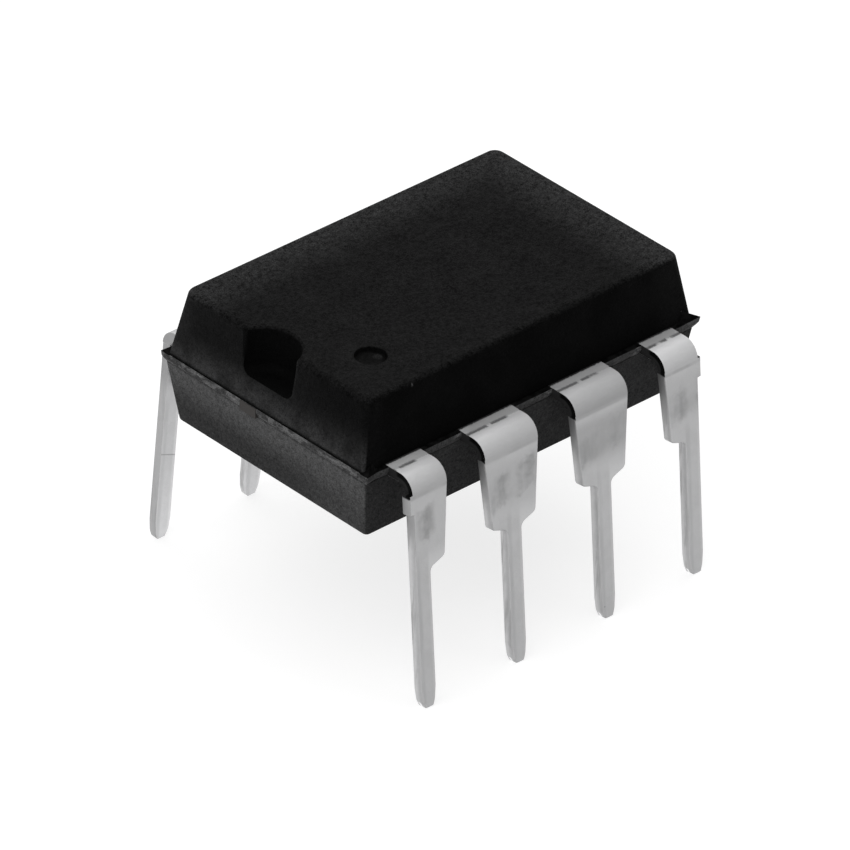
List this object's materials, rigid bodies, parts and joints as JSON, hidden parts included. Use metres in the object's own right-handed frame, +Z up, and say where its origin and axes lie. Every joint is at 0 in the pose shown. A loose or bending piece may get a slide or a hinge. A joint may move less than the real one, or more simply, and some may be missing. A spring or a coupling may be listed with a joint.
{
  "type": "dip integrated circuit chip",
  "caption": "Dual in-line integrated circuit: black drafted resin body with an end notch and a dimple, on two rows of bent flat metal leads, with leadframe, die and bond wires inside.",
  "frame": {"origin": "middle of the package, level with the lead tips it stands on", "axes": "+X along the body away from the notched end, +Y from the row of leads 1 to 4 to the row of leads 5 to 8, +Z up out of the top face"},
  "size_m": [0.0094, 0.0086, 0.0069],
  "materials": {
    "resin": "fine-grained matte black epoxy moulding",
    "lead_metal": "satin tin plating over stamped metal, with faint forming marks",
    "pad_metal": "bare stamped copper alloy",
    "adhesive": "silver-filled die attach",
    "silicon": "polished silicon with a grey-blue sheen",
    "wire_metal": "bright drawn gold wire"
  },
  "bodies": {
    "root": {"moulded_body": "resin", "lead_1": "lead_metal", "lead_2": "lead_metal", "lead_3": "lead_metal", "lead_4": "lead_metal", "lead_5": "lead_metal", "lead_6": "lead_metal", "lead_7": "lead_metal", "lead_8": "lead_metal", "die_pad": "pad_metal", "die_attach": "adhesive", "silicon_die": "silicon", "bond_wire_1": "wire_metal", "bond_wire_2": "wire_metal", "bond_wire_3": "wire_metal", "bond_wire_4": "wire_metal", "bond_wire_5": "wire_metal", "bond_wire_6": "wire_metal", "bond_wire_7": "wire_metal", "bond_wire_8": "wire_metal"}
  },
  "joints": []
}
